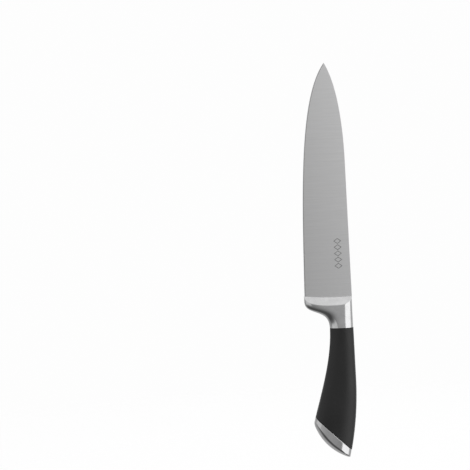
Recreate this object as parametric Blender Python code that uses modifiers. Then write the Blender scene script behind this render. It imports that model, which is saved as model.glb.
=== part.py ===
"""Chef's knife with a cast bolster, a soft grip and a steel end cap.

The knife stands tip up, the way it hangs on a magnetic wall bar.  Its spine faces +X, its
cutting edge -X and its rear face +Y.  The world origin is the middle of the patch of blade
that the bar holds.  Sizes are in metres.  In the comments, front is the end towards the tip.
"""

import math

import bmesh
import bpy
from mathutils import Matrix, Vector
from mathutils.geometry import interpolate_bezier

COLLECTION = "chefs_knife"

# Clearance between touching pieces, and how far a cutter runs past what it cuts
GAP = 0.0003
OVERSHOOT = 0.002

# Blade
BLADE_LENGTH = 0.2005
BLADE_HEIGHT = 0.0403
TIP_DROP = 0.0136
STOCK_THICKNESS = 0.0022
EDGE_THICKNESS = 0.0004
HONED_WIDTH = 0.0009
HONED_THICKNESS = 0.00008
SPINE_FALL_LENGTH = 0.0853
SPINE_FALL_HANDLE = 0.030
SPINE_TIP_HANDLE = (0.0107, 0.0200)
EDGE_HEEL_HANDLE = (0.0023, 0.0895)
EDGE_TIP_HANDLE = (0.0228, 0.0289)
THINNED_LENGTH = 0.0905
TIP_THINNING = 0.00054

# Tang, measured from the spine line
SHOULDER_DEPTH = 0.003
TANG_FRONT = (0.0045, 0.0140)
TANG_REAR = (0.0115, 0.0195)
TANG_END_SETBACK = 0.0437
GRIND_RUN_OUT = 0.006

# Bolster.  Its underside runs flat below the heel, turns in and sweeps out into the neck.
BOLSTER_LENGTH = 0.026
BOLSTER_LIP = 0.0002
BOLSTER_THICKNESS = 0.0160
BOLSTER_CREST = 0.0122
NECK_WIDTH = 0.0201
NECK_THICKNESS = 0.0156
NECK_CREST = 0.0100
NECK_HANDLE = 0.009
HEEL_COVER = 0.0004
HEEL_LENGTH = 0.002
HEEL_HANDLE = 0.0062
TURN_RISE = 0.0093
TURN_SETBACK = 0.012
TURN_HANDLE = (0.0062, 0.0025)

# Grip and end cap.  The reach is from the bolster's front to the crown of the butt's arc.
BUTT_REACH = 0.1387
BUTT_RADIUS = 0.0442
BUTT_CENTRE_RISE = 0.0047
BUTT_DOME_RADIUS = 0.0165
BUTT_CORNER_SETBACK = 0.0323
BUTT_WIDTH = 0.0375
BUTT_SLOPE = 0.29
BUTT_THICKNESS = 0.0210
SPINE_BEND_SETBACK = 0.0685
SPINE_BEND_RADIUS = 0.2694
CAP_JOINT_SETBACK = 0.0020
CAP_JOINT_ANGLE = math.radians(44.3)
FRONT_SPINE_POWER = 2.5
REAR_SPINE_POWER = 2.1
HEEL_BELLY_POWER = 3.4
NECK_BELLY_POWER = 2.0
BUTT_BELLY_POWER = 3.5
SLEEVE_WALL = 0.0018
CAP_WALL = 0.0014

# Fasteners
RIVET_RADIUS = 0.002
RIVET_HEAD_RADIUS = 0.0032
RIVET_HEAD_HEIGHT = 0.0012
RIVET_FRONT_SETBACK = 0.019
RIVET_REAR_SETBACK = 0.012
RIVET_COVER = 0.0006
STUD_RADIUS = 0.0015
STUD_GRIP = 0.009
STUDS = {"cap_stud_upper": 0.0125, "cap_stud_lower": 0.0240}

# The patch that the magnetic bar holds, from the bolster's front and from the spine
MOUNT_HEIGHT = 0.055
MOUNT_DEPTH = 0.018

# Fineness of the meshes
GRIND_STATIONS = 20
RUN_OUT_STRIPS = 8
OUTLINE_STEPS = 20
SWEEP_STEPS = 12
RING_POINTS = 40
LOFT_STEP = 0.005
TURN_STEPS = 24
WHEEL_STEPS = 128
DOME_STEPS = 12

ALONG_Y = (-math.pi / 2, 0, 0)
GRIND_SLOPE = (STOCK_THICKNESS - EDGE_THICKNESS) / 2 / BLADE_HEIGHT
TANG_END = BUTT_REACH - TANG_END_SETBACK
BUTT_CORNER = BUTT_REACH - BUTT_CORNER_SETBACK
RIVETS = {
    "tang_rivet_front": BOLSTER_LENGTH + RIVET_FRONT_SETBACK,
    "tang_rivet_rear": TANG_END - RIVET_REAR_SETBACK,
}


def mix(start, end, share):
    """Return the value that lies the given share of the way from start to end."""
    return start + (end - start) * share


def clear_scene():
    """Remove every object and leave two empty collections, for parts and for cutters."""
    for item in list(bpy.data.objects):
        bpy.data.objects.remove(item, do_unlink=True)
    parts = bpy.data.collections.new(COLLECTION)
    cutters = bpy.data.collections.new("cutters")
    for group in (parts, cutters):
        bpy.context.scene.collection.children.link(group)
    return parts, cutters


def make_material(name, colour, metallic, roughness):
    """Return a Principled material with the given colour, metallic value and roughness."""
    material = bpy.data.materials.new(name)
    material.use_nodes = True
    shader = material.node_tree.nodes["Principled BSDF"]
    shader.inputs["Base Color"].default_value = (*colour, 1.0)
    shader.inputs["Metallic"].default_value = metallic
    shader.inputs["Roughness"].default_value = roughness
    material.diffuse_color = (*colour, 1.0)
    return material


# --- shape helpers -----------------------------------------------------------------------


def add_object(group, name, mesh):
    """Put a mesh in the scene as a named object and return it."""
    item = bpy.data.objects.new(name, mesh)
    group.objects.link(item)
    return item


def as_cutter(item):
    """Show an object as a wire frame and keep it out of the render."""
    item.hide_render = True
    item.display_type = "WIRE"
    return item


def cut(item, tool, operation="DIFFERENCE"):
    """Add a Boolean modifier that cuts the item with the tool."""
    modifier = item.modifiers.new(f"{operation.lower()} {tool.name}", "BOOLEAN")
    modifier.operation = operation
    modifier.solver = "EXACT"
    modifier.object = tool


def smooth(item, angle=math.radians(35)):
    """Shade an object smooth, with sharp edges where faces meet at more than the angle."""
    for face in item.data.polygons:
        face.use_smooth = True
    item.data.set_sharp_from_angle(angle=angle)


def loft(group, name, rings):
    """Make a closed solid through rings of equally many points, capped at both ends."""
    shape = bmesh.new()
    loops = [[shape.verts.new(point) for point in ring] for ring in rings]
    for near, far in zip(loops, loops[1:]):
        for index, vertex in enumerate(near):
            shape.faces.new((near[index - 1], vertex, far[index], far[index - 1]))
    shape.faces.new(loops[0])
    shape.faces.new(reversed(loops[-1]))
    bmesh.ops.recalc_face_normals(shape, faces=shape.faces)
    mesh = bpy.data.meshes.new(name)
    shape.to_mesh(mesh)
    shape.free()
    return add_object(group, name, mesh)


def plate(group, name, corners, thickness):
    """Make a flat plate in the XZ plane from Bezier corners, as a welded mesh.

    Each corner is a place (x, z) with its left and right handles, or None for a corner
    between straight sides.
    """
    curve = bpy.data.curves.new(name, "CURVE")
    curve.dimensions = "2D"
    curve.fill_mode = "BOTH"
    curve.extrude = thickness / 2
    curve.resolution_u = OUTLINE_STEPS
    spline = curve.splines.new("BEZIER")
    spline.bezier_points.add(len(corners) - 1)
    spline.use_cyclic_u = True
    for point, (place, left, right) in zip(spline.bezier_points, corners):
        point.handle_left_type = "FREE" if left else "VECTOR"
        point.handle_right_type = "FREE" if right else "VECTOR"
        point.co = (*place, 0)
        point.handle_left = (*(left or place), 0)
        point.handle_right = (*(right or place), 0)
    flat = add_object(group, name, curve)
    mesh = bpy.data.meshes.new_from_object(flat.evaluated_get(bpy.context.evaluated_depsgraph_get()))
    bpy.data.objects.remove(flat, do_unlink=True)
    shape = bmesh.new()
    shape.from_mesh(mesh)
    bmesh.ops.remove_doubles(shape, verts=shape.verts, dist=1e-6)
    for side in (-1, 1):
        face_side = [face for face in shape.faces if all(v.co.z * side > 0 for v in face.verts)]
        bmesh.ops.dissolve_faces(shape, faces=face_side)
    bmesh.ops.rotate(shape, verts=shape.verts, matrix=Matrix.Rotation(math.pi / 2, 3, "X"))
    shape.to_mesh(mesh)
    shape.free()
    return add_object(group, name, mesh)


def straight(*places):
    """Return plate corners for a run of straight sides."""
    return [(place, None, None) for place in places]


def upright_cylinder(group, name, radius, length, centre):
    """Add a cylinder along Z of the given radius and length, centred at a place."""
    shape = bmesh.new()
    bmesh.ops.create_cone(
        shape, cap_ends=True, segments=TURN_STEPS, radius1=radius, radius2=radius, depth=length
    )
    mesh = bpy.data.meshes.new(name)
    shape.to_mesh(mesh)
    shape.free()
    item = add_object(group, name, mesh)
    item.location = centre
    return item


def turned(group, name, profile, centre, steps):
    """Turn a profile of (radius, height) points, top first, about an axis parallel to Y."""
    mesh = bpy.data.meshes.new(name)
    shape = bmesh.new()
    points = [shape.verts.new((radius, 0, height)) for radius, height in profile]
    for first, second in zip(points, points[1:]):
        shape.edges.new((first, second))
    shape.to_mesh(mesh)
    shape.free()
    item = add_object(group, name, mesh)
    item.location = centre
    item.rotation_euler = ALONG_Y
    screw = item.modifiers.new("turn", "SCREW")
    screw.steps = steps
    screw.render_steps = steps
    screw.use_merge_vertices = True
    screw.merge_threshold = 1e-6
    return item


def trim(item, place, outward):
    """Cut off what lies beyond a plane and close the cut with one flat face."""
    shape = bmesh.new()
    shape.from_mesh(item.data)
    everything = [*shape.verts, *shape.edges, *shape.faces]
    result = bmesh.ops.bisect_plane(
        shape, geom=everything, plane_co=place, plane_no=outward, clear_outer=True
    )
    rim = [piece for piece in result["geom_cut"] if isinstance(piece, bmesh.types.BMEdge)]
    bmesh.ops.edgeloop_fill(shape, edges=rim)
    bmesh.ops.recalc_face_normals(shape, faces=shape.faces)
    shape.to_mesh(item.data)
    shape.free()


# --- the knife's form --------------------------------------------------------------------


def blade_half_thickness(x, z):
    """Return half the blank's thickness at a place: a flat grind, and full stock in the tang."""
    full = STOCK_THICKNESS / 2
    thinned = max(0.0, z - (BLADE_LENGTH - THINNED_LENGTH)) / THINNED_LENGTH
    ground = full + GRIND_SLOPE * x - TIP_THINNING * thinned**2
    return mix(ground, full, min(max(-z / GRIND_RUN_OUT, 0.0), 1.0))


def spine_side(z):
    """Return the handle's spine side: straight, then an arc towards the butt."""
    past_bend = max(0.0, -z - (BUTT_REACH - SPINE_BEND_SETBACK))
    return math.sqrt(SPINE_BEND_RADIUS**2 - past_bend**2) - SPINE_BEND_RADIUS


def belly_side(z):
    """Return the grip's belly side: a smooth swell, then straight on past the butt."""
    length = BUTT_CORNER - BOLSTER_LENGTH
    share = handle_share(z)
    if share > 1:
        return -BUTT_WIDTH - BUTT_SLOPE * length * (share - 1)
    swell = share**2 * (3 - 2 * share)
    return -mix(NECK_WIDTH, BUTT_WIDTH, swell) - BUTT_SLOPE * length * (share**3 - share**2)


def handle_share(z):
    """Return how far a height lies along the grip, from the bolster to the butt's corner."""
    return (-z - BOLSTER_LENGTH) / (BUTT_CORNER - BOLSTER_LENGTH)


def handle_half_thickness(z):
    """Return half the handle's greatest thickness at a height."""
    share = min(handle_share(z), 1.0)
    if share < 0:
        return mix(BOLSTER_THICKNESS, NECK_THICKNESS, -z / BOLSTER_LENGTH) / 2
    return mix(NECK_THICKNESS, BUTT_THICKNESS, share**2 * (3 - 2 * share)) / 2


def handle_crest(z, belly):
    """Return the line along which the handle is thickest, at a height."""
    share = handle_share(z)
    if share < 0:
        return -mix(BOLSTER_CREST, NECK_CREST, -z / BOLSTER_LENGTH)
    return mix(-NECK_CREST, (spine_side(z) + belly) / 2, min(share, 1.0))


def handle_side(z, belly, towards_spine, inset):
    """Return the reach and the roundness of the handle's section on one side of its crest."""
    crest = handle_crest(z, belly)
    bolster_share = min(-z / BOLSTER_LENGTH, 1.0)
    eased = bolster_share**2 * (3 - 2 * bolster_share)
    if towards_spine:
        return spine_side(z) - crest - inset, mix(FRONT_SPINE_POWER, REAR_SPINE_POWER, eased)
    share = min(max(handle_share(z), 0.0), 1.0)
    front_power = mix(HEEL_BELLY_POWER, NECK_BELLY_POWER, eased)
    return crest - belly - inset, mix(front_power, BUTT_BELLY_POWER, share)


def handle_ring(z, belly, inset=0.0):
    """Return the handle's outline at a height, with the given belly side and inset."""
    crest = handle_crest(z, belly)
    half = handle_half_thickness(z) - inset
    ring = []
    for index in range(RING_POINTS):
        angle = math.tau * index / RING_POINTS
        across, thick = math.cos(angle), math.sin(angle)
        reach, power = handle_side(z, belly, across > 0, inset)
        offset = reach * abs(across) ** (2 / power)
        depth = half * abs(thick) ** (2 / power)
        ring.append((crest + math.copysign(offset, across), math.copysign(depth, thick), z))
    return ring


def handle_depth(x, z, inset):
    """Return half the grip's thickness at a place, less the inset all round."""
    belly = belly_side(z)
    offset = x - handle_crest(z, belly)
    reach, power = handle_side(z, belly, offset > 0, inset)
    return (handle_half_thickness(z) - inset) * (1 - abs(offset / reach) ** power) ** (1 / power)


def cap_joint_height(width):
    """Return the height of the cap joint at a distance from the spine line."""
    return CAP_JOINT_SETBACK - BUTT_REACH + math.tan(CAP_JOINT_ANGLE) * width


def trim_at_cap_joint(item, side):
    """Keep one side of the cap joint: 1 is the tip's side and -1 is the butt's."""
    outward = Vector((math.sin(CAP_JOINT_ANGLE), 0, math.cos(CAP_JOINT_ANGLE)))
    place = Vector((0, 0, cap_joint_height(0.0))) + outward * side * GAP / 2
    trim(item, place, outward * -side)


def handle_blank(group, name, front, back, inset=0.0):
    """Make the solid form of the handle between two heights."""
    count = math.ceil((front - back) / LOFT_STEP)
    heights = [mix(front, back, index / count) for index in range(count + 1)]
    return loft(group, name, [handle_ring(z, belly_side(z), inset) for z in heights])


def butt_wheel(group, name, inset=0.0):
    """Make the domed wheel whose rim is the outer face of the butt."""
    rim = BUTT_RADIUS - inset
    dome = BUTT_DOME_RADIUS - inset
    half_width = BUTT_THICKNESS / 2 + OVERSHOOT
    heights = [half_width * (1 - 2 * index / DOME_STEPS) for index in range(DOME_STEPS + 1)]
    profile = [(rim - dome + math.sqrt(dome**2 - height**2), height) for height in heights]
    profile = [(0.0, half_width), *profile, (0.0, -half_width)]
    centre = (BUTT_CENTRE_RISE, 0, BUTT_RADIUS - BUTT_REACH)
    return as_cutter(turned(group, name, profile, centre, WHEEL_STEPS))


# --- sub-parts ---------------------------------------------------------------------------


def tang_corners(clearance, front, rear):
    """Return the outline of the tang from its front, round its end and back."""
    near_spine, near_edge = -TANG_FRONT[0] + clearance, -TANG_FRONT[1] - clearance
    end_spine, end_edge = -TANG_REAR[0] + clearance, -TANG_REAR[1] - clearance
    return straight((near_spine, front), (end_spine, rear), (end_edge, rear), (near_edge, front))


def divide(shape, faces, place, normal):
    """Cut some faces of a mesh along a plane, and leave both sides joined."""
    pieces = {*faces}
    for face in faces:
        pieces.update((*face.verts, *face.edges))
    bmesh.ops.bisect_plane(shape, geom=list(pieces), plane_co=place, plane_no=normal)


def shape_grind(item, clearance=0.0):
    """Give a plate the blank's thickness at every corner, with clearance on a cutter.

    The run-out below the bolster's front is a twisted surface, so narrow strips follow it.
    """
    shape = bmesh.new()
    shape.from_mesh(item.data)
    stations = [BLADE_LENGTH * index / GRIND_STATIONS for index in range(GRIND_STATIONS)]
    for station in (-GRIND_RUN_OUT, *stations):
        divide(shape, shape.faces, (0, 0, station), (0, 0, 1))
    for index in range(RUN_OUT_STRIPS + 1):
        run_out = [face for face in shape.faces if face.calc_center_median().z < 0]
        divide(shape, run_out, (-BLADE_HEIGHT * index / RUN_OUT_STRIPS, 0, 0), (1, 0, 0))
    for vertex in shape.verts:
        half = blade_half_thickness(vertex.co.x, vertex.co.z) + clearance
        vertex.co.y = math.copysign(half, vertex.co.y)
    shape.to_mesh(item.data)
    shape.free()


def hone_edge(item):
    """Bring the blade's lower rim, from the heel to the tip, to a honed edge."""
    shape = bmesh.new()
    shape.from_mesh(item.data)
    for edge in shape.edges:
        first, second = edge.verts
        runs_across = abs(first.co.y + second.co.y) < HONED_THICKNESS / 2
        for vertex in edge.verts:
            if runs_across and vertex.co.z > -GAP and vertex.co.x < GAP - TIP_DROP:
                vertex.co.y = math.copysign(HONED_THICKNESS / 2, vertex.co.y)
    shape.to_mesh(item.data)
    shape.free()


def make_blade(parts):
    """Make the stamped and ground blade with its hidden tang."""
    tip = (-TIP_DROP, BLADE_LENGTH)
    spine_bend = (0.0, BLADE_LENGTH - SPINE_FALL_LENGTH)
    heel = (-BLADE_HEIGHT, 0.0)
    outline = [
        (tip, (tip[0] - EDGE_TIP_HANDLE[0], tip[1] - EDGE_TIP_HANDLE[1]),
         (tip[0] + SPINE_TIP_HANDLE[0], tip[1] - SPINE_TIP_HANDLE[1])),
        (spine_bend, (0.0, spine_bend[1] + SPINE_FALL_HANDLE), None),
        *straight((0.0, -SHOULDER_DEPTH)),
        *tang_corners(0.0, -SHOULDER_DEPTH, -TANG_END),
        *straight((-BLADE_HEIGHT, -SHOULDER_DEPTH)),
        (heel, None, (heel[0] + EDGE_HEEL_HANDLE[0], EDGE_HEEL_HANDLE[1])),
    ]
    blade = plate(parts, "blade", outline, STOCK_THICKNESS)
    shape = bmesh.new()
    shape.from_mesh(blade.data)
    for side in (-1, 1):
        faces = [face for face in shape.faces if face.normal.y * side > 0.9]
        bmesh.ops.inset_region(shape, faces=faces, thickness=HONED_WIDTH, use_even_offset=True)
    shape.to_mesh(blade.data)
    shape.free()
    shape_grind(blade)
    hone_edge(blade)
    return blade


def make_tang_slot(cutters):
    """Make the cutter for the blade's shoulder and the tang, with clearance all round."""
    wide = BLADE_HEIGHT + OVERSHOOT
    seat = -SHOULDER_DEPTH - GAP
    outline = straight((wide, OVERSHOOT), (wide, seat))
    outline += tang_corners(GAP, seat, -TANG_END - GAP)
    outline += straight((-wide, seat), (-wide, OVERSHOOT))
    slot = as_cutter(plate(cutters, "tang_slot", outline, STOCK_THICKNESS))
    shape_grind(slot, GAP)
    return slot


def make_bolster(parts, slot):
    """Make the cast bolster: swept underside, chamfered front, slotted for the blade."""
    under = -BLADE_HEIGHT - HEEL_COVER
    turn = Vector((TURN_RISE - BLADE_HEIGHT, -TURN_SETBACK))
    handle = Vector(TURN_HANDLE)
    heel = Vector((under, -HEEL_LENGTH))
    neck = Vector((-NECK_WIDTH, -BOLSTER_LENGTH))
    heel_handle = heel - Vector((0, HEEL_HANDLE))
    turn_in = Vector((turn.x - handle.x, turn.y + handle.y))
    turn_out = Vector((turn.x + handle.x, turn.y - handle.y))
    neck_handle = neck + Vector((0, NECK_HANDLE))
    upper = interpolate_bezier(heel, heel_handle, turn_in, turn, SWEEP_STEPS)
    lower = interpolate_bezier(turn, turn_out, neck_handle, neck, SWEEP_STEPS)
    stations = [(under, 0.0), *((point.x, point.y) for point in upper + lower[1:])]
    bolster = loft(parts, "bolster", [handle_ring(height, belly) for belly, height in stations])
    lip = STOCK_THICKNESS / 2 + GAP + BOLSTER_LIP
    for side in (-1, 1):
        trim(bolster, Vector((0, side * lip, 0)), Vector((-GRIND_SLOPE, side, 1)))
    cut(bolster, slot)
    return bolster


def make_core(parts, name, side, holes):
    """Make one half of the moulded core that clamps the tang."""
    front = -BOLSTER_LENGTH - GAP
    core = handle_blank(parts, name, front, -BUTT_REACH, SLEEVE_WALL + GAP)
    trim_at_cap_joint(core, 1)
    trim(core, Vector((0, side * GAP / 2, 0)), Vector((0, -side, 0)))
    for hole in holes:
        cut(core, hole)
    return core


def make_rivet(parts, cutters, name, setback):
    """Make a rivet through the tang, and the cutter for its hole and its two head seats."""
    share = (setback - SHOULDER_DEPTH) / (TANG_END - SHOULDER_DEPTH)
    width = (mix(TANG_FRONT[0], TANG_REAR[0], share) + mix(TANG_FRONT[1], TANG_REAR[1], share)) / 2
    centre = (-width, 0, -setback)
    rims = (RIVET_HEAD_RADIUS - width, -RIVET_HEAD_RADIUS - width)
    end = min(handle_depth(rim, -setback, SLEEVE_WALL + GAP) for rim in rims) - RIVET_COVER
    seat = end - RIVET_HEAD_HEIGHT
    profile = [(0, end), (RIVET_HEAD_RADIUS, end), (RIVET_HEAD_RADIUS, seat), (RIVET_RADIUS, seat)]
    profile += [(radius, -height) for radius, height in reversed(profile)]
    rivet = turned(parts, name, profile, centre, TURN_STEPS)
    open_end = handle_half_thickness(-setback)
    wide, narrow, floor = RIVET_HEAD_RADIUS + GAP, RIVET_RADIUS + GAP, seat - GAP
    profile = [(0, open_end), (wide, open_end), (wide, floor), (narrow, floor)]
    profile += [(radius, -height) for radius, height in reversed(profile)]
    return rivet, as_cutter(turned(cutters, f"{name}_hole", profile, centre, TURN_STEPS))


def make_stud(parts, cutters, name, width):
    """Make a stud that stands inside the cap and runs into the core, and its hole's cutter."""
    front = cap_joint_height(width) + STUD_GRIP
    inner = BUTT_RADIUS - CAP_WALL - GAP
    drop = math.sqrt(inner**2 - (width + BUTT_CENTRE_RISE + STUD_RADIUS) ** 2)
    back = BUTT_RADIUS - BUTT_REACH - drop
    middle = (-width, 0, (front + back) / 2)
    stud = upright_cylinder(parts, name, STUD_RADIUS, front - back, middle)
    length = front - back + BUTT_RADIUS
    place = (-width, 0, front + GAP - length / 2)
    hole = upright_cylinder(cutters, f"{name}_hole", STUD_RADIUS + GAP, length, place)
    return stud, as_cutter(hole)


def make_sleeve(parts, cutters):
    """Make the soft sleeve over the core."""
    front = -BOLSTER_LENGTH - GAP
    sleeve = handle_blank(parts, "grip_sleeve", front, -BUTT_REACH)
    trim_at_cap_joint(sleeve, 1)
    inside = handle_blank(cutters, "sleeve_bore", front + LOFT_STEP, -BUTT_REACH, SLEEVE_WALL)
    cut(sleeve, as_cutter(inside))
    return sleeve


def butt_piece(group, cutters, name, inset):
    """Make the part of the handle's form between the cap joint and the butt's face."""
    front = cap_joint_height(BUTT_WIDTH) + LOFT_STEP
    piece = handle_blank(group, name, front, -BUTT_REACH - LOFT_STEP, inset)
    cut(piece, butt_wheel(cutters, f"{name}_wheel", inset), "INTERSECT")
    return piece


def make_end_cap(parts, cutters):
    """Make the hollow steel cap, cut on a slant where it meets the grip."""
    cap = butt_piece(parts, cutters, "end_cap", 0.0)
    trim_at_cap_joint(cap, -1)
    hollow = butt_piece(cutters, cutters, "cap_hollow", CAP_WALL)
    cut(cap, as_cutter(hollow))
    return cap


def make_cap_filler(parts, cutters, holes):
    """Make the moulded plug that fills the cap."""
    filler = butt_piece(parts, cutters, "cap_filler", CAP_WALL + GAP)
    trim_at_cap_joint(filler, -1)
    for hole in holes:
        cut(filler, hole)
    return filler


def main():
    """Build the knife and place it by the patch that the wall bar holds."""
    parts, cutters = clear_scene()
    satin_steel = make_material("satin_steel", (0.42, 0.42, 0.42), 1.0, 0.34)
    cast_steel = make_material("cast_steel", (0.60, 0.60, 0.61), 1.0, 0.22)
    drawn_steel = make_material("drawn_steel", (0.50, 0.50, 0.51), 1.0, 0.30)
    soft_rubber = make_material("soft_rubber", (0.018, 0.018, 0.019), 0.0, 0.55)
    core_plastic = make_material("core_plastic", (0.06, 0.06, 0.065), 0.0, 0.45)
    plug_plastic = make_material("plug_plastic", (0.20, 0.20, 0.21), 0.0, 0.45)

    slot = make_tang_slot(cutters)
    rivets = [make_rivet(parts, cutters, name, setback) for name, setback in RIVETS.items()]
    studs = [make_stud(parts, cutters, name, width) for name, width in STUDS.items()]
    rivet_holes = [hole for _, hole in rivets]
    stud_holes = [hole for _, hole in studs]
    core_holes = [slot, *rivet_holes, *stud_holes]

    blade = make_blade(parts)
    for hole in rivet_holes:
        cut(blade, hole)
    finishes = {
        blade: satin_steel,
        make_bolster(parts, slot): cast_steel,
        make_core(parts, "core_left", -1, core_holes): core_plastic,
        make_core(parts, "core_right", 1, core_holes): core_plastic,
        make_sleeve(parts, cutters): soft_rubber,
        make_end_cap(parts, cutters): cast_steel,
        make_cap_filler(parts, cutters, stud_holes): plug_plastic,
        **{piece: drawn_steel for piece, _ in rivets + studs},
    }
    for piece, material in finishes.items():
        piece.data.materials.append(material)
        smooth(piece)

    datum = bpy.data.objects.new("bolster_front", None)
    parts.objects.link(datum)
    rear_face = blade_half_thickness(-MOUNT_DEPTH, MOUNT_HEIGHT)
    datum.location = (MOUNT_DEPTH, -rear_face, -MOUNT_HEIGHT)
    for item in (*parts.objects, *cutters.objects):
        if item != datum:
            item.parent = datum


if __name__ == "__main__":
    main()
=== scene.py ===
"""Looks of the chef's knife: steel blade and bolster, soft grip, polished end cap, studio.

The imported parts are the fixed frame.  The four pieces that show are modelled finely here and
stand for their plain nodes.  The hidden core, rivets, plug and studs keep their own meshes and
get better materials.  Everything is in metres: the tip is up, the spine faces +X, the cutting
edge -X, and +Y is the rear face that a magnetic bar holds.
"""

import logging
import math
from dataclasses import dataclass, field
from enum import Enum
from functools import cached_property
from typing import Callable, Sequence

import bmesh
import bpy
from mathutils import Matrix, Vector
from mathutils.geometry import interpolate_bezier


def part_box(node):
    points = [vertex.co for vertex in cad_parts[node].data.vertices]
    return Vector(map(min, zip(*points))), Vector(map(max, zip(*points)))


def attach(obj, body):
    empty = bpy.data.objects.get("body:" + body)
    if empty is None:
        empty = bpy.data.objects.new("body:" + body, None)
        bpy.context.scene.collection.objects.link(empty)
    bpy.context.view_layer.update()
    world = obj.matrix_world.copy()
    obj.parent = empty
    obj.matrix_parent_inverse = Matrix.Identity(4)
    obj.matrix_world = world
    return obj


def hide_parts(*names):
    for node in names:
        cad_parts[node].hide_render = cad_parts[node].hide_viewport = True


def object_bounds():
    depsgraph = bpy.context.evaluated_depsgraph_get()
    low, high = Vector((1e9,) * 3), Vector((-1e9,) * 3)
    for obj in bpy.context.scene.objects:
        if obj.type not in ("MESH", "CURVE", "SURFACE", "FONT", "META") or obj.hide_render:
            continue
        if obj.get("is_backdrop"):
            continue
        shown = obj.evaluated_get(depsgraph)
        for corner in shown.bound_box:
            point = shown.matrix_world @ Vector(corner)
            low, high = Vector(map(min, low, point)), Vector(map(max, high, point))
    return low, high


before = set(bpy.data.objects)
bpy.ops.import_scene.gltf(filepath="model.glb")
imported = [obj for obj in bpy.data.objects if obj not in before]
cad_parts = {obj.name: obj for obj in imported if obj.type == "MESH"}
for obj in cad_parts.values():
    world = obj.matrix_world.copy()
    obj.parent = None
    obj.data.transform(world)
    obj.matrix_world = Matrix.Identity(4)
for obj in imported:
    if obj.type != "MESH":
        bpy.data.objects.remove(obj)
logger = logging.getLogger("chefs_knife")

Point = tuple[float, float, float]
Pair = tuple[float, float]
Ring = list[Point]
LEAST = 1e-7
HALVINGS = 40
LINE_POINTS = 400
UNDERSIDE_POINTS = 200
AROUND = 120
TOOL_SIDES = 48
UNIT = (0.0, 1.0)
NOISE_SPAN = (0.3, 0.7)
ROUND_FULLNESS = 0.55
RIM_STEPS = 3
START_RADIUS = 0.01


class Slot(Enum):
    """The names of the record's material slots for the new pieces."""

    BLADE = "satin_steel"
    CAST = "cast_steel"
    GRIP = "soft_rubber"


# --- small tools -------------------------------------------------------------------------


def mix(start: float, end: float, share: float) -> float:
    """Return the value that lies the given share of the way from start to end."""
    return start + (end - start) * share


def smooth_share(share: float) -> float:
    """Return a share eased at both ends, kept between 0 and 1."""
    share = min(max(share, 0.0), 1.0)
    return share**2 * (3 - 2 * share)


def power(base: float, exponent: float) -> float:
    """Return the signed power of a number, which keeps the number's sign."""
    return math.copysign(abs(base) ** exponent, base)


def read_curve(points: Sequence[Vector], height: float) -> float:
    """Return the x of a run of (x, z) points at a height.

    Args:
        points: The points, in order of height, either way up.
        height: The height to read at; outside the run its end value holds.

    Returns:
        The x between the two points that the height lies between.
    """
    rising = points if points[0].y < points[-1].y else points[::-1]
    if height <= rising[0].y:
        return rising[0].x
    for lower, upper in zip(rising, rising[1:]):
        if height <= upper.y:
            return mix(lower.x, upper.x, (height - lower.y) / (upper.y - lower.y))
    return rising[-1].x


def find_root(function: Callable[[float], float], low: float, high: float) -> float:
    """Find where a function crosses zero between two values, by halving the interval.

    Args:
        function: The function, with unlike signs at the two values.
        low: The one value.
        high: The other value.

    Returns:
        The value at which it crosses.
    """
    sign = function(low) > 0
    for _ in range(HALVINGS):
        middle = (low + high) / 2
        if (function(middle) > 0) == sign:
            low = middle
        else:
            high = middle
    return (low + high) / 2


def quarter_round(radius: float) -> list[Pair]:
    """Find the places of the rings that make a rounded rim.

    Args:
        radius: The rim's radius.

    Returns:
        For each ring a distance that falls from the radius to 0, and one that rises to it.
    """
    turns = [math.radians(90 * step / RIM_STEPS) for step in range(RIM_STEPS + 1)]
    return [(radius * (1 - math.sin(turn)), radius * (1 - math.cos(turn))) for turn in turns]


# --- the workbench: modelling by operators -----------------------------------------------


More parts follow.
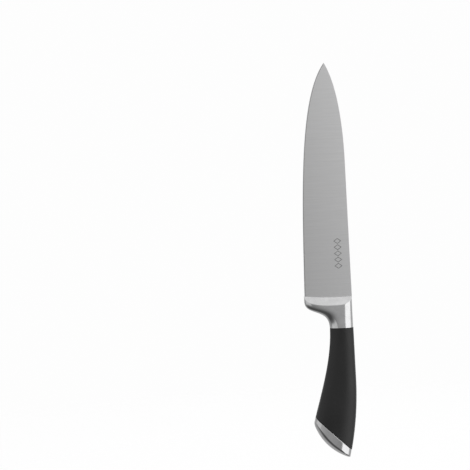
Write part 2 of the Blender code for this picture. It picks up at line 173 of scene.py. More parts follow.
class Bench:
    """Makes and shapes one piece at a time with Blender's own operators."""

    @staticmethod
    def clear_selection() -> None:
        """Deselect every object, so that an operator acts on the new one alone."""
        if bpy.context.mode != "OBJECT":
            bpy.ops.object.mode_set(mode="OBJECT")
        bpy.ops.object.select_all(action="DESELECT")

    @classmethod
    def take(cls, piece: bpy.types.Object) -> None:
        """Select one piece and make it active.

        Args:
            piece: The piece.
        """
        cls.clear_selection()
        piece.select_set(True)
        bpy.context.view_layer.objects.active = piece

    @classmethod
    def loft(cls, name: str, rings: Sequence[Ring], seamed: bool = False) -> bpy.types.Object:
        """Draw a filled circle on the first ring and extrude it from ring to ring.

        Args:
            name: The piece's name.
            rings: The sections to pass through, about the form's own datum, each with the
                same number of points.
            seamed: Whether the first ring is pressed into a line, whose two sides are merged.

        Returns:
            The closed piece in the knife's frame, with its faces outwards.
        """
        cls.clear_selection()
        bpy.ops.mesh.primitive_circle_add(vertices=len(rings[0]), radius=START_RADIUS, fill_type="NGON")
        piece = bpy.context.object
        piece.name = name
        piece.data.name = name
        bpy.ops.object.mode_set(mode="EDIT")
        bpy.ops.mesh.select_all(action="SELECT")
        cls._set_face(piece, rings[0])
        for ring in rings[1:]:
            bpy.ops.mesh.extrude_region_move()
            cls._set_face(piece, ring)
        if seamed:
            cls._delete_first_face(piece)
        bpy.ops.mesh.select_all(action="SELECT")
        bpy.ops.mesh.remove_doubles(threshold=LEAST)
        bpy.ops.mesh.normals_make_consistent(inside=False)
        bpy.ops.object.mode_set(mode="OBJECT")
        return piece

    @staticmethod
    def _set_face(piece: bpy.types.Object, ring: Ring) -> None:
        """Move the corners of the one selected face onto a ring's points.

        Args:
            piece: The piece, in edit mode.
            ring: The places of the face's corners, about the form's own datum.
        """
        shape = bmesh.from_edit_mesh(piece.data)
        face = next(face for face in shape.faces if face.select)
        for corner, point in zip(face.verts, ring):
            corner.co = FORM.place(*point)
        bmesh.update_edit_mesh(piece.data)

    @staticmethod
    def _delete_first_face(piece: bpy.types.Object) -> None:
        """Delete the face that the loft started from: the large one that isn't selected.

        Args:
            piece: The piece, in edit mode, with its last face selected.
        """
        shape = bmesh.from_edit_mesh(piece.data)
        for face in shape.faces:
            face.select_set(len(face.verts) > 4 and not face.select)
        bmesh.update_edit_mesh(piece.data)
        bpy.ops.mesh.delete(type="ONLY_FACE")

    @classmethod
    def cut(cls, piece: bpy.types.Object, tool: bpy.types.Object) -> None:
        """Cut a piece with a tool.

        Args:
            piece: The piece to cut.
            tool: The cutter, which is used up.
        """
        cls.take(piece)
        modifier = piece.modifiers.new("cut", "BOOLEAN")
        modifier.operation = "DIFFERENCE"
        modifier.solver = "EXACT"
        modifier.object = tool
        bpy.ops.object.modifier_apply(modifier=modifier.name)
        bpy.data.objects.remove(tool, do_unlink=True)

    @classmethod
    def pin(cls, radius: float, length: float, middle: Point) -> bpy.types.Object:
        """Add a cylinder along Y, as a tool for drilling.

        Args:
            radius: Its radius.
            length: Its length.
            middle: Its middle.

        Returns:
            The cylinder.
        """
        cls.clear_selection()
        bpy.ops.mesh.primitive_cylinder_add(
            vertices=TOOL_SIDES, radius=radius, depth=length, location=middle,
            rotation=(math.pi / 2, 0, 0),
        )
        bpy.ops.object.transform_apply(location=True, rotation=True, scale=True)
        return bpy.context.object

    @classmethod
    def shade(cls, piece: bpy.types.Object, degrees: float = 30.0) -> None:
        """Shade a piece smooth, and sharp where its faces meet at more than an angle."""
        cls.take(piece)
        bpy.ops.object.shade_smooth_by_angle(angle=math.radians(degrees))


def install(piece: bpy.types.Object, node: str, finishes: Sequence["Finish"]) -> None:
    """Dress a finished piece and let it stand for its plain node.

    Args:
        piece: The finished piece.
        node: The node that it replaces.
        finishes: The finishes of its material slots, in order.
    """
    for finish in finishes:
        piece.data.materials.append(finish.material())
    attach(piece, "root")
    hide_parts(node)
    logger.info("%s: %d faces", piece.name, len(piece.data.polygons))


# --- the knife's form --------------------------------------------------------------------


@dataclass(frozen=True)
class KnifeForm:
    """The outline and the sections that all the pieces share.

    Heights are measured from the bolster's front, upwards, and widths from the spine line.
    The form lies round its own datum, and place() puts it in the knife's frame.  A lead is how
    far a curve's handle lies from the curve's end.  The three powers of a side, for the
    bolster's front, the neck and the butt, say how square its section is: 2 is an ellipse.
    """

    blade_length: float = 0.2005
    blade_height: float = 0.0403
    tip_drop: float = 0.0136
    stock: float = 0.0022
    edge_stock: float = 0.0004
    spine_fall: float = 0.0853
    spine_lead: Pair = (0.0, 0.030)
    spine_tip_lead: Pair = (-0.0107, 0.0200)
    heel_lead: Pair = (0.0023, 0.0895)
    edge_tip_lead: Pair = (0.0228, 0.0289)
    thinned_length: float = 0.0905
    tip_thinning: float = 0.00054
    bolster_length: float = 0.026
    bolster_thickness: float = 0.0160
    bolster_crest: float = 0.0122
    neck_width: float = 0.0201
    neck_thickness: float = 0.0156
    neck_crest: float = 0.0100
    neck_lead: float = 0.009
    heel_cover: float = 0.0004
    heel_length: float = 0.002
    under_heel_lead: float = 0.0062
    turn_rise: float = 0.0093
    turn_setback: float = 0.012
    turn_lead: Pair = (0.0062, -0.0025)
    butt_reach: float = 0.1387
    butt_radius: float = 0.0442
    butt_rise: float = 0.0047
    dome_radius: float = 0.0165
    butt_corner: float = 0.1064
    butt_width: float = 0.0375
    butt_slope: float = 0.29
    butt_thickness: float = 0.0210
    bend_start: float = 0.0702
    bend_radius: float = 0.2694
    joint_setback: float = 0.0020
    joint_angle: float = math.radians(44.3)
    spine_powers: tuple[float, float, float] = (2.5, 2.1, 2.5)
    belly_powers: tuple[float, float, float] = (3.4, 2.0, 3.5)
    mount_height: float = 0.055
    mount_depth: float = 0.018

    @property
    def grind_slope(self) -> float:
        """How fast half the blade's thickness falls from the spine to the edge."""
        return (self.stock - self.edge_stock) / 2 / self.blade_height

    def place(self, x: float, y: float, z: float) -> Point:
        """Move a point from the form's datum to the knife's frame.

        Args:
            x: Its place from the spine line.
            y: Its place from the middle plane.
            z: Its height above the bolster's front.

        Returns:
            The point in the knife's frame.
        """
        rear_face = self.blade_half(-self.mount_depth, self.mount_height)
        return (x + self.mount_depth, y - rear_face, z - self.mount_height)

    def blade_half(self, x: float, z: float) -> float:
        """Find half the blade's thickness at a place on its grind.

        Args:
            x: The place from the spine line.
            z: The height.

        Returns:
            Half the thickness.
        """
        thinned = max(0.0, z - (self.blade_length - self.thinned_length)) / self.thinned_length
        return self.stock / 2 + self.grind_slope * x - self.tip_thinning * thinned**2

    def edge_line(self) -> list[Vector]:
        """Return the cutting edge from the heel to the tip as (x, z) points."""
        heel, tip = Vector((-self.blade_height, 0)), Vector((-self.tip_drop, self.blade_length))
        return interpolate_bezier(
            heel, heel + Vector(self.heel_lead), tip - Vector(self.edge_tip_lead), tip, LINE_POINTS
        )

    def spine_line(self) -> list[Vector]:
        """Draw the falling end of the blade's spine.

        Returns:
            Its (x, z) points, up to the tip.
        """
        bend = Vector((0, self.blade_length - self.spine_fall))
        tip = Vector((-self.tip_drop, self.blade_length))
        return interpolate_bezier(
            bend, bend + Vector(self.spine_lead), tip - Vector(self.spine_tip_lead), tip, LINE_POINTS
        )

    def under_line(self) -> list[Vector]:
        """Draw the bolster's underside.

        Returns:
            Its (x, z) points, from the heel to the neck.
        """
        heel = Vector((-self.blade_height - self.heel_cover, -self.heel_length))
        turn = Vector((self.turn_rise - self.blade_height, -self.turn_setback))
        neck = Vector((-self.neck_width, -self.bolster_length))
        lead = Vector(self.turn_lead)
        below_heel = heel - Vector((0, self.under_heel_lead))
        above_neck = neck + Vector((0, self.neck_lead))
        upper = interpolate_bezier(heel, below_heel, turn - lead, turn, UNDERSIDE_POINTS)
        lower = interpolate_bezier(turn, turn + lead, above_neck, neck, UNDERSIDE_POINTS)
        return [Vector((heel.x, 0.0)), *upper, *lower[1:]]

    def grip_share(self, z: float) -> float:
        """Return how far down the grip a height lies, from the bolster to the butt's corner."""
        return (-z - self.bolster_length) / (self.butt_corner - self.bolster_length)

    def spine_side(self, z: float) -> float:
        """Return the handle's spine side: straight, then an arc towards the butt."""
        past = max(0.0, -z - self.bend_start)
        return math.sqrt(self.bend_radius**2 - past**2) - self.bend_radius

    def belly_side(self, z: float) -> float:
        """Find the grip's belly side: a smooth swell, then straight on past the butt.

        Args:
            z: The height.

        Returns:
            The side's x.
        """
        length = self.butt_corner - self.bolster_length
        share = self.grip_share(z)
        if share > 1:
            return -self.butt_width - self.butt_slope * length * (share - 1)
        swell = mix(self.neck_width, self.butt_width, share**2 * (3 - 2 * share))
        return -swell - self.butt_slope * length * (share**3 - share**2)

    def half_thickness(self, z: float) -> float:
        """Find half the handle's greatest thickness.

        Args:
            z: The height.

        Returns:
            Half the thickness.
        """
        share = self.grip_share(z)
        if share < 0:
            return mix(self.bolster_thickness, self.neck_thickness, -z / self.bolster_length) / 2
        return mix(self.neck_thickness, self.butt_thickness, smooth_share(share)) / 2

    def skin(self, angle: float, z: float, belly: float, inset: float = 0.0) -> Point:
        """Return a point of the handle's skin.

        Args:
            angle: The place round the section: 0 is the spine, and pi the belly.
            z: The height.
            belly: The belly side at that height.
            inset: How far below the skin the point lies.

        Returns:
            The point, about the form's own datum.
        """
        share = self.grip_share(z)
        spine = self.spine_side(z)
        if share < 0:
            crest = -mix(self.bolster_crest, self.neck_crest, -z / self.bolster_length)
        else:
            crest = mix(-self.neck_crest, (spine + belly) / 2, min(share, 1.0))
        across, thick = math.cos(angle), math.sin(angle)
        down_bolster = smooth_share(-z / self.bolster_length)
        if across > 0:
            reach, (front, neck, butt) = spine - crest, self.spine_powers
        else:
            reach, (front, neck, butt) = crest - belly, self.belly_powers
        exponent = mix(mix(front, neck, down_bolster), butt, min(max(share, 0.0), 1.0))
        x = crest + (reach - inset) * power(across, 2 / exponent)
        y = (self.half_thickness(z) - inset) * power(thick, 2 / exponent)
        return (x, y, z)

    def grip_point(self, angle: float, z: float, inset: float = 0.0) -> Point:
        """Return a point of the grip's or the cap's skin, or of a skin set in from it."""
        return self.skin(angle, z, self.belly_side(z), inset)

    def joint_height(self, x: float) -> float:
        """Return the height of the slanted joint between grip and cap."""
        return self.joint_setback - self.butt_reach - math.tan(self.joint_angle) * x

    def dome_reach(self, y: float, inset: float = 0.0) -> float:
        """Return the radius of the butt's domed face at a distance from the middle plane."""
        dome = self.dome_radius - inset
        return self.butt_radius - inset - dome + math.sqrt(dome**2 - y**2)


FORM = KnifeForm()


def angles() -> list[float]:
    """Return evenly spaced angles round a section, from the spine by the front face."""
    return [-math.tau * index / AROUND for index in range(AROUND)]


def skin_ring(height: float, inset: float = 0.0) -> Ring:
    """Return the handle's level section behind the bolster, about the form's own datum."""
    return [FORM.grip_point(angle, height, inset) for angle in angles()]


def skin_rings(starts: list[float], ends: list[float], rows: int, inset: float = 0.0) -> list[Ring]:
    """Make the rings of a stretch of the handle's skin.

    Args:
        starts: The height at which each line of the skin starts.
        ends: The height at which it ends.
        rows: How many steps there are between them.
        inset: How far below the skin the rings lie.

    Returns:
        The rings, from the starts to the ends.
    """
    rings = []
    for row in range(rows + 1):
        heights = [mix(start, end, row / rows) for start, end in zip(starts, ends)]
        rings.append([FORM.grip_point(angle, z, inset) for angle, z in zip(angles(), heights)])
    return rings


# --- the finishes ------------------------------------------------------------------------


Output = bpy.types.NodeSocket
Value = bpy.types.NodeSocket | float


class Wiring:
    """A node tree, with short calls for the nodes that the finishes and the sky share."""

    def __init__(self, tree: bpy.types.NodeTree) -> None:
        """Keep the tree."""
        self.tree = tree

    def add(self, kind: str) -> bpy.types.Node:
        """Return a new node of a kind, named without its prefix."""
        return self.tree.nodes.new(f"ShaderNode{kind}")

    def feed(self, socket: bpy.types.NodeSocket, value: object) -> None:
        """Link an output to a socket, or set the socket to a plain value.

        Args:
            socket: The socket to feed.
            value: An output, or what the socket holds.
        """
        if isinstance(value, bpy.types.NodeSocket):
            self.tree.links.new(value, socket)
        else:
            socket.default_value = value

    def math(self, operation: str, first: Value, second: Value = 0.0) -> Output:
        """Calculate with two numbers or outputs.

        Args:
            operation: The Math node's operation.
            first: The first number.
            second: The second number, where the operation takes one.

        Returns:
            The result.
        """
        node = self.add("Math")
        node.operation = operation
        self.feed(node.inputs[0], first)
        self.feed(node.inputs[1], second)
        return node.outputs["Value"]

    def span(self, value: Output, source: Pair, target: Pair = UNIT, eased: bool = False) -> Output:
        """Carry a value from one range to another, and keep it within that.

        Args:
            value: The value.
            source: The range that it comes from.
            target: The range that it goes to.
            eased: Whether it leaves and reaches the ends gently.

        Returns:
            The new value.
        """
        node = self.add("MapRange")
        node.interpolation_type = "SMOOTHSTEP" if eased else "LINEAR"
        self.feed(node.inputs["Value"], value)
        for name, number in zip(("From Min", "From Max", "To Min", "To Max"), source + target):
            node.inputs[name].default_value = number
        return node.outputs["Result"]

    def split(self, place: Output) -> tuple[Output, ...]:
        """Split a vector.

        Args:
            place: The vector.

        Returns:
            Its x, y and z.
        """
        node = self.add("SeparateXYZ")
        self.feed(node.inputs["Vector"], place)
        return tuple(node.outputs)


class NodeSheet(Wiring):
    """A material's node tree, with short calls for the nodes that the finishes use."""

    def __init__(self, name: str) -> None:
        """Start a new material with one Principled shader.

        Args:
            name: The material's name.
        """
        self.material = bpy.data.materials.new(name)
        self.material.use_nodes = True
        super().__init__(self.material.node_tree)
        self.shader = self.tree.nodes["Principled BSDF"]
        self.place = self.add("TexCoord").outputs["Object"]

    def set(self, **values: object) -> None:
        """Set or link the shader's sockets, with underscores for the spaces in their names."""
        for name, value in values.items():
            self.feed(self.shader.inputs[name.replace("_", " ")], value)

    def axes(self) -> tuple[Output, ...]:
        """Return the object coordinates' x, y and z."""
        return self.split(self.place)

    def noise(self, scale: Point, detail: float = 3.0, roughness: float = 0.55) -> Output:
        """Make a noise from 0 to 1.

        Args:
            scale: How many grains there are to a metre, along each axis.
            detail: How many finer octaves are added.
            roughness: How strong the finer octaves are.

        Returns:
            The noise's value.
        """
        mapping = self.add("Mapping")
        mapping.inputs["Scale"].default_value = scale
        self.feed(mapping.inputs["Vector"], self.place)
        node = self.add("TexNoise")
        node.inputs["Scale"].default_value = 1.0
        node.inputs["Detail"].default_value = detail
        node.inputs["Roughness"].default_value = roughness
        self.feed(node.inputs["Vector"], mapping.outputs["Vector"])
        return node.outputs["Fac"]

    def cells(self, scale: float) -> Output:
        """Measure the distance to the middle of the nearest of many small cells.

        Args:
            scale: How many cells there are to a metre.

        Returns:
            The distance, from 0 to about 1.
        """
        node = self.add("TexVoronoi")
        node.inputs["Scale"].default_value = scale
        self.feed(node.inputs["Vector"], self.place)
        return node.outputs["Distance"]

    def blend(self, share: Value, first: object, second: object) -> Output:
        """Mix two colours.

        Args:
            share: How much of the second colour there is.
            first: A colour, or an output that gives one.
            second: Another colour or output.

        Returns:
            The mixed colour.
        """
        node = self.add("Mix")
        node.data_type = "RGBA"
        self.feed(node.inputs["Factor"], share)
        for socket, colour in ((node.inputs[6], first), (node.inputs[7], second)):
            self.feed(socket, (*colour, 1.0) if isinstance(colour, tuple) else colour)
        return node.outputs[2]

    def tones(self, value: Output, dark: object, light: object, source: Pair = NOISE_SPAN) -> Output:
        """Colour a surface by a noise.

        Args:
            value: The noise.
            dark: The colour at the low end.
            light: The colour at the high end.
            source: The noise's values at the two ends.

        Returns:
            The colour.
        """
        return self.blend(self.span(value, source), dark, light)

    def shade(self, colour: Output, tone: Output) -> Output:
        """Multiply a colour by a tone.

        Args:
            colour: The colour.
            tone: The tone, where 1 leaves the colour as it is.

        Returns:
            The shaded colour.
        """
        node = self.add("VectorMath")
        node.operation = "SCALE"
        self.feed(node.inputs["Vector"], colour)
        self.feed(node.inputs["Scale"], tone)
        return node.outputs["Vector"]

    def bump(self, height: Output, distance: float) -> None:
        """Raise the surface, on top of what raises it already.

        Args:
            height: The height, from 0 to 1.
            distance: How high 1 is, in metres.
        """
        node = self.add("Bump")
        node.inputs["Distance"].default_value = distance
        self.feed(node.inputs["Height"], height)
        before = self.shader.inputs["Normal"]
        if before.is_linked:
            self.feed(node.inputs["Normal"], before.links[0].from_socket)
        self.feed(before, node.outputs["Normal"])


Colour = tuple[float, float, float]


@dataclass(frozen=True)
class SatinSteel:
    """Blade steel, ground across its width, with a fine etched row of lozenges and painted shade
    towards the edge.
    """

    name: str = "satin_steel_fine"
    dark: Colour = (0.703, 0.703, 0.706)
    light: Colour = (0.777, 0.777, 0.780)
    tone_span: Pair = (0.36, 0.64)
    # Painted shade: the colour's tone at the cutting edge, rising to 1 at the spine, stands in for the
    # shading across the blade.
    painted_edge_shade: float = 0.86
    roughness: Pair = (0.30, 0.42)
    fine_lines: Point = (38.0, 38.0, 5200.0)
    fine_share: float = 0.6
    broad_lines: Point = (22.0, 22.0, 420.0)
    clouds: Point = (14.0, 14.0, 9.0)
    cloud_share: float = 0.25
    line_depth: float = 0.0000035
    etched: Colour = (0.14, 0.14, 0.14)
    etched_share: float = 0.92
    etched_dulling: float = 0.25
    mark_centre: Pair = (0.0080, -0.0176)
    mark_pitch: float = 0.0053
    mark_count: int = 5
    mark_reach: Pair = (0.0033, 0.0024)
    mark_line: float = 0.22

    def mark(self, sheet: NodeSheet) -> Output:
        """Find the lines of the etched lozenges on the front face.

        Args:
            sheet: The material's nodes.

        Returns:
            1 on the lines, and 0 elsewhere.
        """
        x, y, z = sheet.axes()
        across = sheet.math("ABSOLUTE", sheet.math("SUBTRACT", x, self.mark_centre[0]))
        along = sheet.math("SUBTRACT", z, self.mark_centre[1])
        repeat = sheet.math("PINGPONG", along, self.mark_pitch / 2)
        sideways = sheet.math("DIVIDE", across, self.mark_reach[0])
        upwards = sheet.math("DIVIDE", repeat, self.mark_reach[1])
        reach = sheet.math("ADD", sideways, upwards)
        off_line = sheet.math("ABSOLUTE", sheet.math("SUBTRACT", reach, 1.0 - self.mark_line / 2))
        line = sheet.math("LESS_THAN", off_line, self.mark_line / 2)
        row = self.mark_pitch * self.mark_count / 2
        inside = sheet.math("LESS_THAN", sheet.math("ABSOLUTE", along), row)
        front = sheet.math("LESS_THAN", y, -FORM.stock / 2)
        return sheet.math("MULTIPLY", sheet.math("MULTIPLY", line, inside), front)

    def material(self) -> bpy.types.Material:
        """Make the finish: grinding lines from spine to edge, in colour, gloss and relief, with painted
        shade darkening the colour towards the edge.

        Returns:
            The material.
        """
        sheet = NodeSheet(self.name)
        fine = sheet.noise(self.fine_lines, detail=2.0)
        broad = sheet.math("MULTIPLY", sheet.noise(self.broad_lines), 1 - self.fine_share)
        lines = sheet.math("ADD", sheet.math("MULTIPLY", fine, self.fine_share), broad)
        steel = sheet.tones(lines, self.dark, self.light, self.tone_span)
        cloud = sheet.span(sheet.noise(self.clouds, detail=2.0), NOISE_SPAN)
        steel = sheet.blend(sheet.math("MULTIPLY", cloud, self.cloud_share), steel, self.light)
        blade = (FORM.mount_depth - FORM.blade_height, FORM.mount_depth)
        # Painted shade: darken the steel's colour towards the cutting edge.
        steel = sheet.shade(steel, sheet.span(sheet.axes()[0], blade, (self.painted_edge_shade, 1.0)))
        mark = self.mark(sheet)
        dulled = sheet.math("MULTIPLY", mark, self.etched_dulling)
        gloss = sheet.span(lines, NOISE_SPAN, self.roughness[::-1])
        sheet.set(
            Base_Color=sheet.blend(sheet.math("MULTIPLY", mark, self.etched_share), steel, self.etched),
            Roughness=sheet.math("ADD", gloss, dulled),
            Metallic=1.0,
        )
        sheet.bump(fine, self.line_depth)
        return sheet.material


@dataclass(frozen=True)
class LinedSteel:
    """Steel with fine lines in one direction: honed by a stone, or drawn through a die."""

    name: str
    lines: Point
    detail: float
    dark: Colour
    light: Colour
    roughness: Pair
    depth: float

    def material(self) -> bpy.types.Material:
        """Make the finish.

        Returns:
            The material.
        """
        sheet = NodeSheet(self.name)
        lines = sheet.noise(self.lines, self.detail)
        sheet.set(
            Base_Color=sheet.tones(lines, self.dark, self.light),
            Roughness=sheet.span(lines, NOISE_SPAN, self.roughness),
            Metallic=1.0,
        )
        sheet.bump(lines, self.depth)
        return sheet.material


def honed_steel() -> LinedSteel:
    """Return the finish of the bevel along the edge, with lines from the stone."""
    dark, light = (0.36, 0.36, 0.365), (0.50, 0.50, 0.505)
    return LinedSteel("honed_steel", (300.0, 300.0, 7000.0), 2.0, dark, light, (0.22, 0.34), 0.000003)


def drawn_steel(name: str, lines: Point) -> LinedSteel:
    """Return the finish of drawn rod, with a name and the density of its lines on each axis."""
    dark, light = (0.44, 0.44, 0.445), (0.58, 0.58, 0.585)
    return LinedSteel(name, lines, 3.0, dark, light, (0.24, 0.38), 0.000004)


@dataclass(frozen=True)
class PolishedSteel:
    """Cast steel, polished by hand: near a mirror, with faint swirls and a soft ripple."""

    name: str = "polished_steel"
    dark: Colour = (0.600, 0.600, 0.604)
    light: Colour = (0.680, 0.680, 0.684)
    roughness: Pair = (0.10, 0.17)
    swirls: Point = (900.0, 300.0, 2600.0)
    swirl_roughness: float = 0.65
    swirl_depth: float = 0.0000012
    ripple: Point = (160.0, 160.0, 160.0)
    ripple_depth: float = 0.000003

    def material(self) -> bpy.types.Material:
        """Make the finish.

        Returns:
            The material.
        """
        sheet = NodeSheet(self.name)
        swirls = sheet.noise(self.swirls, 4.0, self.swirl_roughness)
        ripple = sheet.noise(self.ripple)
        sheet.set(
            Base_Color=sheet.tones(ripple, self.dark, self.light),
            Roughness=sheet.span(swirls, NOISE_SPAN, self.roughness),
            Metallic=1.0,
        )
        sheet.bump(swirls, self.swirl_depth)
        sheet.bump(ripple, self.ripple_depth)
        return sheet.material


@dataclass(frozen=True)
class SoftRubber:
    """Black moulded rubber: a fine sparked grain, and paler and duller places from handling."""

    name: str = "grained_rubber"
    dark: Colour = (0.0022, 0.0022, 0.0023)
    light: Colour = (0.0060, 0.0060, 0.0062)
    tone_span: Pair = (0.25, 0.75)
    roughness: Pair = (0.40, 0.54)
    ior: float = 1.49
    grain_scale: float = 2400.0
    grain_share: float = 0.45
    grain_depth: float = 0.000022
    fine_depth: float = 0.000022 / 3
    fine_grain: Point = (5200.0, 5200.0, 5200.0)
    wear: Point = (46.0, 46.0, 30.0)
    wear_share: float = 0.6

    def material(self) -> bpy.types.Material:
        """Make the finish.

        Returns:
            The material.
        """
        sheet = NodeSheet(self.name)
        grain = sheet.cells(self.grain_scale)
        worn = sheet.noise(self.wear)
        tone = sheet.math("MULTIPLY", worn, self.wear_share)
        tone = sheet.math("ADD", sheet.math("MULTIPLY", grain, self.grain_share), tone)
        sheet.set(
            Base_Color=sheet.tones(tone, self.dark, self.light, self.tone_span),
            Roughness=sheet.span(worn, NOISE_SPAN, self.roughness),
            IOR=self.ior,
        )
        sheet.bump(grain, self.grain_depth)
        sheet.bump(sheet.noise(self.fine_grain, detail=2.0), self.fine_depth)
        return sheet.material


@dataclass(frozen=True)
class MouldedPlastic:
    """Hard moulded plastic with faint flow marks and a matt skin."""

    name: str
    dark: Colour
    light: Colour
    roughness: Pair = (0.40, 0.54)
    flow: Point = (180.0, 180.0, 60.0)
    skin: Point = (2600.0, 2600.0, 2600.0)
    skin_depth: float = 0.00001

    def material(self) -> bpy.types.Material:
        """Make the finish.

        Returns:
            The material.
        """
        sheet = NodeSheet(self.name)
        skin = sheet.noise(self.skin, detail=2.0)
        sheet.set(
            Base_Color=sheet.tones(sheet.noise(self.flow, detail=4.0), self.dark, self.light),
            Roughness=sheet.span(skin, NOISE_SPAN, self.roughness),
        )
        sheet.bump(skin, self.skin_depth)
        return sheet.material


Finish = SatinSteel | LinedSteel | PolishedSteel | SoftRubber | MouldedPlastic


# --- the sub-assemblies ------------------------------------------------------------------


@dataclass
class Blade:
    """The ground blade with its honed edge, broken spine corners and hidden tang."""

    honed_width: float = 0.0009
    honed_half: float = 0.00004
    honed_lean: Pair = (0.6, 0.997)
    honed_facing: float = -0.05
    spine_break: float = 0.00014
    most_honed: float = 1 / 2.5
    most_broken: float = 1 / 5
    shoulder: float = 0.003
    tang_front: Pair = (0.0045, 0.0140)
    tang_end: Pair = (0.0115, 0.0195)
    tang_length: float = 0.095
    run_out: float = 0.006
    hole_radius: float = 0.0021
    drill_length: float = 3 * FORM.stock
    stations: int = 170
    tip_crowding: float = 1.6
    sharp_angle: float = 5.0
    rivets: tuple[str, ...] = ("tang_rivet_front", "tang_rivet_rear")

    def half(self, x: float, z: float) -> float:
        """Return half the blank's thickness, which runs out to full stock inside the bolster."""
        return mix(FORM.blade_half(x, z), FORM.stock / 2, min(max(-z / self.run_out, 0.0), 1.0))

    def blade_ring(self, spine: float, edge: float, z: float) -> Ring:
        """Make the blade's section at a height.

        Args:
            spine: The spine's x.
            edge: The cutting edge's x.
            z: The height.

        Returns:
            Eight points: two at each spine corner, and the honed bevel's two lines.
        """
        width = spine - edge
        corner = min(self.spine_break, width * self.most_broken)
        hone = min(self.honed_width, width * self.most_honed)
        keen = mix(self.honed_half, self.half(edge, z), min(max(-z / self.shoulder, 0.0), 1.0))
        front = [
            (spine, self.half(spine, z) - corner, z),
            (spine - corner, self.half(spine - corner, z), z),
            (edge + hone, self.half(edge + hone, z), z),
            (edge, keen, z),
        ]
        return [(x, -y, h) for x, y, h in front] + front[::-1]

    def tang_width(self, z: float) -> Pair:
        """Return the tang's two sides at a height."""
        share = (-z - self.shoulder) / (self.tang_length - self.shoulder)
        return tuple(-mix(a, b, share) for a, b in zip(self.tang_front, self.tang_end))

    def tang_ring(self, z: float) -> Ring:
        """Make the tang's section, with broken corners.

        Args:
            z: The height.

        Returns:
            Eight points, in the order of the blade's own.
        """
        near, far = self.tang_width(z)
        corner, half = self.spine_break, self.half(near, z)
        front = [(near, half - corner, z), (near - corner, half, z)]
        front += [(far + corner, half, z), (far, half - corner, z)]
        return [(x, -y, h) for x, y, h in front] + front[::-1]

    def rings(self) -> list[Ring]:
        """Make the blade's sections.

        Returns:
            The sections, from the tang's end to the tip.
        """
        tang = [self.tang_ring(z) for z in (-self.tang_length, -self.run_out, -self.shoulder)]
        edge_line, spine_line = FORM.edge_line(), FORM.spine_line()
        heights = [-self.shoulder, -self.shoulder / 2]
        for index in range(self.stations):
            left = (1 - index / self.stations) ** self.tip_crowding
            heights.append(FORM.blade_length * (1 - left))
        blade = []
        for z in heights:
            blade.append(self.blade_ring(read_curve(spine_line, z), read_curve(edge_line, z), z))
        return tang + blade

    def assign_honed(self, piece: bpy.types.Object) -> None:
        """Give the leaning faces next to the edge the second material slot.

        Args:
            piece: The blade.
        """
        least, most = self.honed_lean
        for face in piece.data.polygons:
            leaning = least < abs(face.normal.y) < most and face.normal.x < self.honed_facing
            if leaning and face.center.z > -FORM.mount_height:
                face.material_index = 1

    def build(self) -> None:
        """Model the blade, drill its tang for the rivets and dress it."""
        piece = Bench.loft("ground_blade", self.rings())
        for name in self.rivets:
            low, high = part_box(name)
            middle = tuple((a + b) / 2 for a, b in zip(low, high))
            Bench.cut(piece, Bench.pin(self.hole_radius, self.drill_length, middle))
        self.assign_honed(piece)
        Bench.shade(piece, self.sharp_angle)
        install(piece, "blade", [SatinSteel(), honed_steel()])


@dataclass
class SlotTool:
    """The cutter for the blade's shoulder and its tang."""

    clearance: float = 0.00004
    seat: float = 0.00305
    overshoot: float = 0.005
    blade: Blade = field(default_factory=Blade)

    def ring(self, near: float, far: float, z: float) -> Ring:
        """Make the cutter's section at a height.

        Args:
            near: Its side towards the spine.
            far: Its side towards the edge.
            z: The height.

        Returns:
            Its four corners.
        """
        near_half, far_half = (self.blade.half(x, z) + self.clearance for x in (near, far))
        front = [(near, -near_half, z), (far, -far_half, z)]
        return front + [(far, far_half, z), (near, near_half, z)]

    def build(self) -> bpy.types.Object:
        """Model the cutter, from under the tang to above the bolster.

        Returns:
            The cutter.
        """
        far_end = -FORM.blade_height - self.overshoot
        rings = []
        for z in (-self.blade.tang_length, -self.blade.run_out, -self.seat):
            near, far = self.blade.tang_width(z)
            rings.append(self.ring(near + self.clearance, far - self.clearance, z))
        for z in (-self.seat, -self.seat / 2, 0.0, self.overshoot):
            rings.append(self.ring(self.overshoot, far_end, z))
        return Bench.loft("slot_tool", rings)


